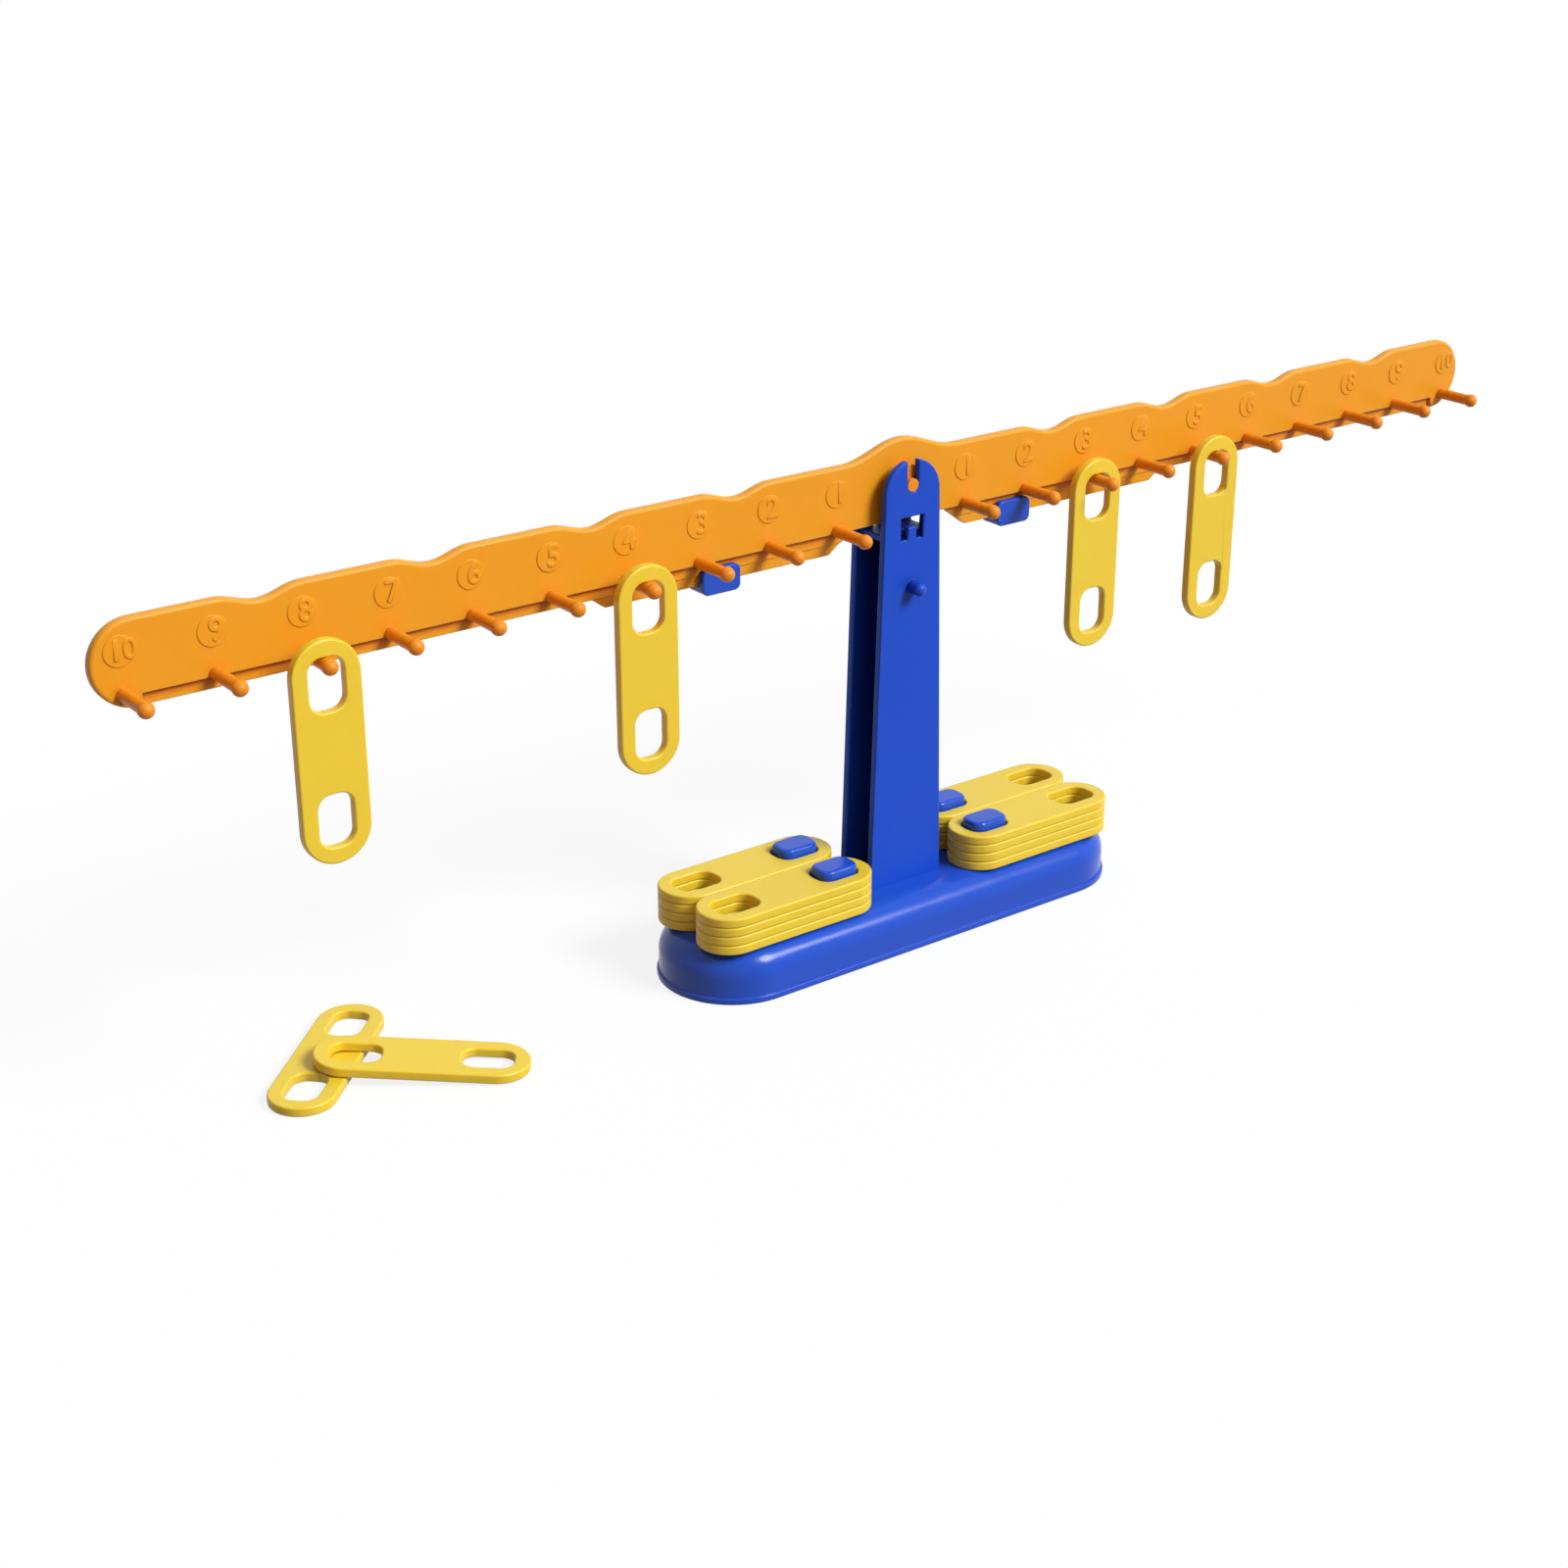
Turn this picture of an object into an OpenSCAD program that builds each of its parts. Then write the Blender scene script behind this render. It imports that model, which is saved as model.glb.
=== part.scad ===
// Number balance: a scalloped beam with a row of pegs rocks on a column that plugs into a long base.
// Slotted tags hang on the pegs, lie loose beside the base and wait in stacks on the base's posts.
// X runs along the beam, -Y is the front, Z is up, and the origin is under the middle of the base.

/* [Beam] */
// Distance between neighbouring pegs
peg_pitch = 30; // [28:0.5:34]
// Pegs on each arm
arm_pegs = 10; // [9:1:12]
// Distance from the last peg to the beam's end
beam_overhang = 9.5; // [8:0.5:14]
// Height of the raised front panel
panel_h = 24.2; // [21:0.2:28]
// Height of the recessed band under the panel
band_h = 4.2; // [3:0.1:6]
// Thickness of the beam's rim
beam_t = 3.2; // [2.8:0.1:4.2]
// Distance from the pivot's middle forward to the panel's face
panel_lead = 3; // [2.4:0.1:4]
// How far the panel stands in front of the band
panel_step = 1.4; // [0.8:0.1:1.6]
// Thickness of the front wall
front_wall = 1.8; // [1.4:0.1:2.2]
// Thickness of the rim round the hollow back
rim_wall = 2; // [1.2:0.1:3]
// Depth of the dips between the lobes of the top edge
dip_depth = 3.1; // [1:0.1:5]
// Width of one dip
dip_w = 29; // [16:0.5:32]
// Rise of the hub over the top edge
hub_rise = 6.1; // [3:0.1:9]
// Width of the hub's rise
hub_w = 52; // [40:1:60]
// Height of the pivot over the panel's lower edge
pivot_rise = 14.2; // [11:0.1:18]
// Pivot pin diameter
pin_d = 4.9; // [3.5:0.1:6]
// Diameter of the hub bosses on the pin
boss_d = 14; // [10:0.5:18]

/* [Pegs] */
// Peg diameter
peg_d = 4.4; // [3:0.1:5.4]
// Diameter of the bulb at the peg's tip
bulb_d = 5.4; // [4.4:0.1:7]
// Length of a peg in front of the panel
peg_l = 19; // [17:0.5:24]
// Height of the pegs' axes over the panel's lower edge
peg_rise = 1; // [0.4:0.1:2.2]
// Diameter of the boss behind each peg
peg_boss_d = 8; // [6:0.5:10]

/* [Rails and sliders] */
// Distance from the middle at which the band starts
band_start = 21; // [18:0.5:26]
// Distance from the middle to a rail's outer end
rail_end = 133; // [110:1:150]
// Depth of a rail below the band
rail_h = 3.8; // [2:0.1:5]
// Thickness of a rail
rail_t = 2.6; // [2:0.1:3.6]
// How far the band's slope runs outwards beside the column
rail_slope = 5.7; // [4:0.1:8]
// Width of a slider
slider_w = 16; // [10:0.5:20]
// Thickness of a slider's jaws and floor
slider_wall = 3; // [1.6:0.1:3.4]
// Clearance between a slider and its rail
slider_clear = 0.3; // [0.1:0.05:0.5]
// Place of the left slider's middle from the pivot
slider_left_x = 81.7; // [50:0.1:110]
// Place of the right slider's middle from the pivot
slider_right_x = 53.6; // [45:0.1:110]

/* [Column] */
// Height of the pivot over the table
pivot_h = 176.2; // [165:0.2:200]
// Width of the plates where they meet the base
plate_foot_w = 34.2; // [30:0.2:40]
// Width of the plates at the round crown
plate_crown_w = 25.4; // [22:0.2:30]
// Thickness of a plate
plate_t = 3; // [2:0.1:4]
// Gap between the plates
plate_gap = 13.2; // [11:0.1:16]
// Thickness of the web between the plates
web_t = 3; // [2:0.1:5]
// Distance from the crown's centre up to the pivot
crown_drop = 3.2; // [0:0.1:6]
// Width of the window
window_w = 10.4; // [8:0.1:14]
// Height of the window
window_h = 8.4; // [7:0.1:10]
// Distance from the pivot down to the window's middle
window_drop = 16; // [14:0.1:18]
// Width of the index that stands in the window
index_w = 4; // [2:0.1:5]
// Height of the index
index_h = 4.6; // [3:0.1:6]
// Diameter of the stub on the front plate
stub_d = 5; // [3:0.1:7]
// Length of the stub
stub_l = 7; // [3:0.1:9]
// Distance from the pivot down to the stub
stub_drop = 38.2; // [32:0.2:60]
// Width of the bridge between the plates
bridge_w = 22; // [16:0.2:24]
// Thickness of the bridge
bridge_t = 2.6; // [2:0.1:4]
// Distance from the pivot down to the bridge
bridge_drop = 18; // [17:0.1:24]
// Width of the stop under the beam
stop_w = 7; // [5:0.2:12]
// How far the stop reaches in front of the pivot's middle
stop_lead = 3.6; // [3.2:0.1:5]
// Largest tilt of the beam in degrees
tilt_max = 6; // [4:0.5:8]
// Depth of the column's foot in the base
foot_h = 12; // [8:0.5:14]

/* [Base] */
// Length of the base
base_l = 207; // [200:1:220]
// Width of the base
base_w = 57; // [55:0.5:66]
// Height of the base
base_h = 20; // [18:0.5:24]
// Radius of the base's rounded upper edge
base_round = 10; // [6:0.5:12]
// Height of the rim at the table
rim_h = 2.6; // [1.5:0.1:4]
// How far the rim stands out
rim_step = 0.8; // [0.4:0.1:1.5]
// Wall thickness over the hollow underside
base_wall = 2.8; // [2:0.1:4]
// Thickness of the ribs in the hollow underside
base_rib = 3; // [2:0.1:5]
// Distance from the middle to a post
post_x = 37.2; // [36:0.1:44]
// Height of a post over its stack
post_proud = 3.2; // [1.5:0.1:5]
// Radius of a post's rounded upper edge
post_round = 1.6; // [0.8:0.1:2.4]

/* [Tags] */
// Length of a tag
tag_l = 75.2; // [70:0.2:80]
// Width of a tag
tag_w = 24; // [22:0.2:25]
// Thickness of a tag
tag_t = 3.6; // [3:0.1:4.2]
// Length of a slot
slot_l = 18; // [16:0.2:20]
// Width of a slot
slot_w = 12.6; // [11:0.1:14]
// Radius of a slot's corners
slot_round = 4.8; // [3:0.1:5.4]
// Wall between a slot and the tag's end
tag_end = 5.8; // [4:0.1:7]
// Gap between neighbouring stacks
row_gap = 0.4; // [0.3:0.1:1]
// Clearance round a post in its slot
post_clear = 0.6; // [0.4:0.05:1]
// Clearance between a peg and the slot that hangs on it
hang_clear = 0.2; // [0.1:0.05:0.5]
// Front face of the tag on left peg 8, from the panel
hang_left_8 = 13.8; // [11:0.1:14]
// Front face of the tag on left peg 4, from the panel
hang_left_4 = 13; // [11:0.1:14]
// Front face of the tag on right peg 3, from the panel
hang_right_3 = 9; // [8:0.1:9]
// Front face of the tag on right peg 5, from the panel
hang_right_5 = 13.4; // [13.3:0.1:14]

/* [Loose tags] */
// Place of the lower tag's middle along X
loose_x = -229; // [-260:1:-200]
// Place of the lower tag's middle along Y
loose_y = 28; // [10:1:40]
// Heading of the lower tag in degrees
loose_heading = 44; // [20:1:60]
// Angle from the lower tag round to the upper one in degrees
cross_angle = 80; // [60:1:110]
// Distance from the lower tag's middle to the crossing, along the lower tag
cross_slip = -5.7; // [-10:0.1:10]
// How far the upper tag reaches past the lower tag's middle line
cross_lap = 3.1; // [-4:0.1:12]

/* [Hidden] */
$fn = 64;
STACK_LEVELS = [1, 2, 3, 4];
SIDES = [["left", -1], ["right", 1]];
ROWS = [["front", -1], ["rear", 1]];

BLUE = "#2a50c4";
ORANGE = "#ee9d2d";
YELLOW = "#e8c640";

// Overrun of every cut past the face it opens
cut = 1;
// Clearance of the pin in its seat, a running fit
pin_clear = 0.05;
// Clearance between a hub boss and the plate beside it
boss_clear = 0.3;
// How far the pin's ends lie behind the plates' outer faces
pin_recess = 0.2;
// Clearance left under the beam at its largest tilt
stop_clear = 0.15;
// Clearance round the column's foot in its socket
foot_clear = 0.1;
// Clearance between a slider's jaws and the pegs above them
slider_peg_clear = 0.5;
// Clearance under the crossing of the two loose tags
lay_clear = 0.05;
// Radius of a slider's corners, seen from the front
slider_round = 2.4;
// How far a rail lies behind the band's face and beside its slope
rail_inset = 0.3;
// Height of the pocket's lower edge over the panel's lower edge
pocket_rise = 2.4;
// Distance from the last peg to the band's outer end
band_end_gap = 6;

beam_half = arm_pegs * peg_pitch + beam_overhang;
panel_low = pivot_h - pivot_rise;
beam_top = panel_low + panel_h;
band_low = panel_low - band_h;
beam_front = -panel_lead;
beam_back = beam_front + beam_t;
band_front = beam_front + panel_step;
peg_z = panel_low + peg_rise;
rail_low = band_low - rail_h;
rail_front = band_front + rail_inset;
rail_back = rail_front + rail_t;

plate_inner = plate_gap / 2;
plate_front = plate_inner + plate_t;
crown_z = pivot_h - crown_drop;
bridge_top = pivot_h - bridge_drop;
stop_top = pivot_h - (pivot_rise + stop_w / 2 * sin(tilt_max)) / cos(tilt_max) - stop_clear;

row_y = (tag_w + row_gap) / 2;
slot_pitch = tag_l - slot_l - 2 * tag_end;
post_l = slot_l - 2 * post_clear;
post_w = slot_w - 2 * post_clear;
post_corner = slot_round - post_clear;
stack_h = len(STACK_LEVELS) * tag_t;

// Steps of one dip and of the hub's rise in the beam's top edge
DIP_STEPS = 16;
HUB_STEPS = 24;
// Place of the first dip, in pegs from the pivot, and the pegs from one dip to the next
first_dip_share = 2.45;
dip_every = 2;
DIPS = [for (k = [first_dip_share : dip_every : arm_pegs - 1]) k * peg_pitch];

function stack_name(side, row, level) = str("stack_", side[0], "_", row[0], "_", level);

// A smooth bell, 1 in the middle and 0 from half its width outwards
function bell(x, w) = abs(x) < w / 2 ? (1 + cos(360 * x / w)) / 2 : 0;

// Height of the beam's top edge at x, with a dip after every second peg and the hub in the middle
function top_edge(x) =
    beam_top + hub_rise * bell(x, hub_w)
    - dip_depth * max([for (place = DIPS) bell(abs(x) - place, dip_w)]);

// Places along a bell about the middle place, from left to right
function bell_places(middle, w, steps) = [for (i = [0 : steps]) middle + w * (i / steps - 1 / 2)];

// Places that the top edge needs, from the beam's left end to its right end
TOP_PLACES = concat(
    [for (i = [len(DIPS) - 1 : -1 : 0]) each bell_places(-DIPS[i], dip_w, DIP_STEPS)],
    bell_places(0, hub_w, HUB_STEPS),
    [for (place = DIPS) each bell_places(place, dip_w, DIP_STEPS)]
);

// Outline of the beam drawn in by an inset, seen from the front, with its lower edge at low
module beam_outline(low, inset) {
    r = (beam_top - band_low) / 2 - inset;
    end_x = beam_half - inset - r;
    mid_z = (beam_top + band_low) / 2;
    intersection() {
        union() {
            polygon(concat(
                [[end_x, mid_z + r], [end_x, mid_z - r], [-end_x, mid_z - r], [-end_x, mid_z + r]],
                [for (x = TOP_PLACES) [x, top_edge(x) - inset]]
            ));
            for (side = [-1, 1])
                translate([side * end_x, mid_z])
                    circle(r);
        }
        translate([-beam_half, low])
            square([2 * beam_half, 2 * panel_h]);
    }
}

// A flat shape seen from the front, given thickness from y0 back to y1
module upright(y0, y1) {
    translate([0, y1, 0])
        rotate([90, 0, 0])
            linear_extrude(y1 - y0)
                children();
}

// A round bar along Y, from y0 back to y1
module cross_bar(d, y0, y1) {
    translate([0, y1, 0])
        rotate([90, 0, 0])
            cylinder(d = d, h = y1 - y0);
}

// A round peg that stands forward from the plane y = 0, with a root behind it and a bulb at its tip
module peg(d, bulb, l, root) {
    rotate([90, 0, 0])
        rotate_extrude()
            intersection() {
                union() {
                    translate([0, -root])
                        square([d / 2, root + l - bulb / 2]);
                    translate([0, l - bulb / 2])
                        circle(d = bulb);
                }
                translate([0, -root])
                    square([bulb, root + l]);
            }
}

// A long shape with half-round ends, centred on the origin
module oblong(l, w) {
    square([l - w, w], center = true);
    for (side = [-1, 1])
        translate([side * (l - w) / 2, 0])
            circle(d = w);
}

// A rectangle with rounded corners, centred on the origin
module rounded(w, h, r) {
    square([w - 2 * r, h], center = true);
    square([w, h - 2 * r], center = true);
    for (sx = [-1, 1], sy = [-1, 1])
        translate([sx * (w / 2 - r), sy * (h / 2 - r)])
            circle(r);
}

// Half of a loaf's section: width w, height h and upper edge rounded to r
module loaf_half(w, h, r) {
    intersection() {
        union() {
            square([w / 2 - r, h]);
            square([w / 2, h - r]);
            translate([w / 2 - r, h - r])
                circle(r);
        }
        square([w, h]);
    }
}

// A bar of the loaf's whole section along X, from -run / 2 to run / 2
module loaf_bar(run, w, h, r) {
    translate([-run / 2, 0, 0])
        rotate([90, 0, 90])
            linear_extrude(run)
                for (flip = [0, 1])
                    mirror([flip, 0])
                        loaf_half(w, h, r);
}

// A long block with half-round ends and a rounded upper edge, standing on z = 0
module loaf(l, w, h, r) {
    run = l - w;
    for (turn = [0, 180])
        rotate(turn)
            translate([run / 2, 0, 0])
                rotate(-90)
                    rotate_extrude(angle = 180)
                        loaf_half(w, h, r);
    loaf_bar(run, w, h, r);
}

// Half the plates' width at height z, on the taper from the foot to the crown
function plate_half(z) =
    plate_foot_w / 2 - (plate_foot_w - plate_crown_w) / 2 * (z - base_h) / (crown_z - base_h);

// Outline of a plate with its round crown, from z0 upwards
module plate_outline(z0) {
    foot = plate_half(z0);
    crown = plate_crown_w / 2;
    polygon([[-foot, z0], [foot, z0], [crown, crown_z], [-crown, crown_z]]);
    translate([0, crown_z])
        circle(crown);
}

// Open slot that carries the pivot pin, and the window with its index
module plate_cuts() {
    seat = pin_d + 2 * pin_clear;
    translate([0, pivot_h])
        circle(d = seat);
    translate([-seat / 2, pivot_h])
        square([seat, plate_crown_w]);
    difference() {
        translate([-window_w / 2, pivot_h - window_drop - window_h / 2])
            square([window_w, window_h]);
        translate([-index_w / 2, pivot_h - window_drop - window_h / 2 - cut])
            square([index_w, index_h + cut]);
    }
}

// One of the column's two plates, between y0 and y1
module plate(y0, y1) {
    difference() {
        upright(y0, y1)
            plate_outline(base_h - foot_h);
        upright(y0 - cut, y1 + cut)
            plate_cuts();
    }
}

module column() {
    color(BLUE) {
        plate(-plate_front, -plate_inner);
        plate(plate_inner, plate_front);
        translate([-web_t / 2, -plate_inner, base_h - foot_h])
            cube([web_t, plate_gap, bridge_top - bridge_t / 2 - base_h + foot_h]);
        translate([-bridge_w / 2, -plate_inner, bridge_top - bridge_t])
            cube([bridge_w, plate_gap, bridge_t]);
        translate([-stop_w / 2, -stop_lead, bridge_top - bridge_t / 2])
            cube([stop_w, stop_lead + plate_inner, stop_top - bridge_top + bridge_t / 2]);
        translate([0, -plate_front, pivot_h - stub_drop])
            peg(stub_d, stub_d, stub_l, plate_t / 2);
    }
}

// Space that the column's foot takes in the base, grown by its clearance
module foot_space() {
    floor_z = base_h - foot_h;
    mouth_z = base_h + cut;
    floor_half = plate_half(floor_z) + foot_clear;
    mouth_half = plate_half(mouth_z) + foot_clear;
    upright(-plate_front - foot_clear, plate_front + foot_clear)
        polygon([[-floor_half, floor_z], [floor_half, floor_z], [mouth_half, mouth_z], [-mouth_half, mouth_z]]);
}

// A storage post that stands in the table's plane, with rounded corners and a rounded upper edge
module post() {
    h = base_h + stack_h + post_proud;
    loaf_bar(post_l - 2 * post_corner, post_w, h, post_round);
    rotate(90)
        loaf_bar(post_w - 2 * post_corner, post_l, h, post_round);
    for (sx = [0, 1], sy = [0, 1])
        mirror([sx, 0, 0])
            mirror([0, sy, 0])
                translate([post_l / 2 - post_corner, post_w / 2 - post_corner, 0])
                    rotate_extrude(angle = 90)
                        loaf_half(2 * post_corner, h, post_round);
}

module base() {
    body_w = base_w - 2 * rim_step;
    body_l = base_l - 2 * rim_step;
    hollow_w = body_w - 2 * base_wall;
    hollow_l = body_l - 2 * base_wall;
    block_half = plate_half(base_h - foot_h) + foot_clear + base_wall;
    color(BLUE)
    difference() {
        union() {
            loaf(body_l, body_w, base_h, base_round);
            linear_extrude(rim_h)
                oblong(base_l, base_w);
            for (sx = [-1, 1], sy = [-1, 1])
                translate([sx * post_x, sy * row_y, 0])
                    post();
        }
        foot_space();
        difference() {
            translate([0, 0, -cut])
                loaf(hollow_l, hollow_w, base_h - base_wall + cut, base_round - base_wall);
            translate([-block_half, -base_w, -cut])
                cube([2 * block_half, 2 * base_w, base_h + cut]);
            translate([-base_l, -base_rib / 2, -cut])
                cube([2 * base_l, base_rib, base_h + cut]);
        }
    }
}

// Space under the panel beside the column, where the beam has no band
module band_gap() {
    polygon([
        [-band_start, panel_low],
        [band_start, panel_low],
        [band_start + rail_slope, band_low],
        [band_start + rail_slope, band_low - cut],
        [-band_start - rail_slope, band_low - cut],
        [-band_start - rail_slope, band_low]
    ]);
}

// Rail under one arm, with the band's slope at each end
module rail_outline() {
    slope = rail_slope / band_h;
    inner = band_start + rail_inset;
    polygon([
        [inner, panel_low],
        [inner + slope * (band_h + rail_h), rail_low],
        [rail_end - slope * rail_h, rail_low],
        [rail_end, band_low],
        [rail_end, panel_low]
    ]);
}

// Hollow of the beam's back between its rim, its ribs and its bosses
module beam_pocket() {
    difference() {
        upright(beam_front + front_wall, beam_back + cut)
            beam_outline(panel_low + pocket_rise, rim_wall);
        for (k = [-arm_pegs : arm_pegs])
            translate([(k - sign(k) / 2) * peg_pitch - rim_wall / 2, beam_front, panel_low])
                cube([rim_wall, beam_t, panel_h + hub_rise]);
        for (side = [-1, 1], k = [1 : arm_pegs])
            translate([side * k * peg_pitch, 0, peg_z])
                cross_bar(peg_boss_d, beam_front, beam_back);
        translate([0, 0, pivot_h])
            cross_bar(boss_d + 2 * rim_wall, beam_front, beam_back);
    }
}

module beam() {
    strip = arm_pegs * peg_pitch - band_end_gap;
    boss_face = plate_inner - boss_clear;
    color(ORANGE) {
        difference() {
            upright(beam_front, beam_back)
                beam_outline(band_low, 0);
            upright(beam_front - cut, beam_back + cut)
                band_gap();
            translate([-strip, beam_front - cut, band_low - cut])
                cube([2 * strip, panel_step + cut, band_h + cut]);
            beam_pocket();
        }
        for (side = [0, 1])
            mirror([side, 0, 0]) {
                upright(rail_front, rail_back)
                    rail_outline();
                for (k = [1 : arm_pegs])
                    translate([k * peg_pitch, beam_front, peg_z])
                        peg(peg_d, bulb_d, peg_l, front_wall / 2);
            }
        translate([0, 0, pivot_h]) {
            cross_bar(boss_d, -boss_face, boss_face);
            cross_bar(pin_d, pin_recess - plate_front, plate_front - pin_recess);
        }
    }
}

// A clip that hugs a rail from below, centred at x
module slider(x) {
    top = peg_z - peg_d / 2 - slider_peg_clear;
    floor_z = rail_low - slider_clear;
    low = floor_z - slider_wall;
    front = band_front - slider_clear - slider_wall;
    back = rail_back + slider_clear + slider_wall;
    color(BLUE)
    translate([x, 0, 0])
        difference() {
            upright(front, back)
                translate([0, (top + low) / 2])
                    rounded(slider_w, top - low, slider_round);
            translate([-slider_w, band_front - slider_clear, floor_z])
                cube([2 * slider_w, rail_back - band_front + 2 * slider_clear, top - floor_z + cut]);
            translate([-slider_w, band_front - slider_clear, band_low - slider_clear])
                cube([2 * slider_w, back - front, top - band_low + slider_clear + cut]);
        }
}

module slider_left() {
    slider(-slider_left_x);
}

module slider_right() {
    slider(slider_right_x);
}

// A tag lying flat, its middle over the origin and its underside on z = 0
module tag() {
    color(YELLOW)
    linear_extrude(tag_t)
        difference() {
            oblong(tag_l, tag_w);
            for (side = [-1, 1])
                translate([side * slot_pitch / 2, 0])
                    rounded(slot_l, slot_w, slot_round);
        }
}

// A tag that hangs from its upper slot on the peg at x, its front face a given way before the panel
module hung_tag(x, face) {
    slot_top = peg_z + peg_d / 2 + hang_clear;
    mid_z = slot_top - slot_l / 2 - slot_pitch / 2;
    translate([x, beam_front - face + tag_t, mid_z])
        rotate([90, 90, 0])
            tag();
}

module hung_left_8() {
    hung_tag(-8 * peg_pitch, hang_left_8);
}

module hung_left_4() {
    hung_tag(-4 * peg_pitch, hang_left_4);
}

module hung_right_3() {
    hung_tag(3 * peg_pitch, hang_right_3);
}

module hung_right_5() {
    hung_tag(5 * peg_pitch, hang_right_5);
}

module loose_lower() {
    translate([loose_x, loose_y, 0])
        rotate(loose_heading)
            tag();
}

// The upper tag leans from the table on to the lower tag's near edge
module loose_upper() {
    edge = tag_w / 2 * (1 + abs(cos(cross_angle))) / sin(cross_angle);
    lean = asin((tag_t + lay_clear) / (tag_l - cross_lap - edge));
    translate([loose_x, loose_y, 0])
        rotate(loose_heading)
            translate([cross_slip, 0, 0])
                rotate(-cross_angle)
                    translate([tag_l - cross_lap, 0, 0])
                        rotate([0, lean, 0])
                            translate([-tag_l / 2, 0, 0])
                                tag();
}

// One tag of the stack on a post, counted from the base upwards
module stacked_tag(side, row, level) {
    translate([side[1] * (post_x + slot_pitch / 2), row[1] * row_y, base_h + (level - 1) * tag_t])
        tag();
}

base();
column();
beam();
slider_left();
slider_right();
hung_left_8();
hung_left_4();
hung_right_3();
hung_right_5();
loose_lower();
loose_upper();
for (side = SIDES, row = ROWS, level = STACK_LEVELS)
    stacked_tag(side, row, level);
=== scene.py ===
"""A moulded plastic number balance: soft edges, plastic finishes, raised numbers and a white studio."""

import logging
import math
from dataclasses import dataclass
from enum import Enum
from typing import Union

import bmesh
import bpy
from mathutils import Matrix, Vector


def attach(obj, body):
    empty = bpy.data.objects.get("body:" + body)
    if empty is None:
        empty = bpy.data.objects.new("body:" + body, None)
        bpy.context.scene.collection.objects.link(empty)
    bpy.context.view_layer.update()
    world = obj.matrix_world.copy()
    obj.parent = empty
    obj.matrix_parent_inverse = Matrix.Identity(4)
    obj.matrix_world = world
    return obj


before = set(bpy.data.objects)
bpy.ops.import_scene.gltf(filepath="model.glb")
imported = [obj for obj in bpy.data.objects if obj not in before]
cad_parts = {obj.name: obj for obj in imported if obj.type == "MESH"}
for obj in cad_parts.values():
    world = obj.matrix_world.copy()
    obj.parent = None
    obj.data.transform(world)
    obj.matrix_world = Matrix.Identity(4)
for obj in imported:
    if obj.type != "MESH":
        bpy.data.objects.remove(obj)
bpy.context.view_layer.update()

MM = 0.001
WHITE = (1.0, 1.0, 1.0, 1.0)
NOISE_MEAN = 0.5
SHADE_SAMPLES = 4

log = logging.getLogger("number_balance")

Color = tuple[float, float, float, float]
Input = Union["Value", float, Color]


class Value:
    """A shader socket that takes part in arithmetic; every operation adds one Math node."""

    def __init__(self, graph: "Graph", socket: bpy.types.NodeSocket) -> None:
        """Keeps the socket and the graph that it belongs to."""
        self.graph = graph
        self.socket = socket

    def _math(self, operation: str, first: Input, second: Input) -> "Value":
        """Adds a Math node.

        Args:
            operation: the Math node's operation.
            first: the first operand.
            second: the second operand.

        Returns:
            The node's result.
        """
        return self.graph.add("ShaderNodeMath", {"operation": operation}, {0: first, 1: second})["Value"]

    def __add__(self, other: Input) -> "Value":
        """Sum."""
        return self._math("ADD", self, other)

    def __radd__(self, other: Input) -> "Value":
        """Reflected sum."""
        return self._math("ADD", other, self)

    def __sub__(self, other: Input) -> "Value":
        """Difference."""
        return self._math("SUBTRACT", self, other)

    def __rsub__(self, other: Input) -> "Value":
        """Reflected difference."""
        return self._math("SUBTRACT", other, self)

    def __mul__(self, other: Input) -> "Value":
        """Product."""
        return self._math("MULTIPLY", self, other)

    def __rmul__(self, other: Input) -> "Value":
        """Reflected product."""
        return self._math("MULTIPLY", other, self)

    def __gt__(self, other: Input) -> "Value":
        """1 where this is the larger, else 0."""
        return self._math("GREATER_THAN", self, other)

    def __lt__(self, other: Input) -> "Value":
        """1 where this is the smaller, else 0."""
        return self._math("LESS_THAN", self, other)

    def __or__(self, other: Input) -> "Value":
        """The larger of the two."""
        return self._math("MAXIMUM", self, other)

    def ramp(self, low: float, high: float) -> "Value":
        """Stretches the span from low to high to the span from 0 to 1, and clamps it.

        Args:
            low: the value that becomes 0.
            high: the value that becomes 1.

        Returns:
            The stretched value.
        """
        span = {1: low, 2: high, 3: 0.0, 4: 1.0}
        return self.graph.add("ShaderNodeMapRange", {"clamp": True}, {0: self, **span})["Result"]


class Node:
    """A shader node whose outputs are read by name."""

    def __init__(self, graph: "Graph", node: bpy.types.ShaderNode) -> None:
        """Keeps the node and its graph."""
        self.graph = graph
        self.node = node

    def __getitem__(self, output: str) -> Value:
        """One output, as a value."""
        found = [s for s in self.node.outputs if s.name == output and s.enabled]
        return Value(self.graph, found[0])


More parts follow.
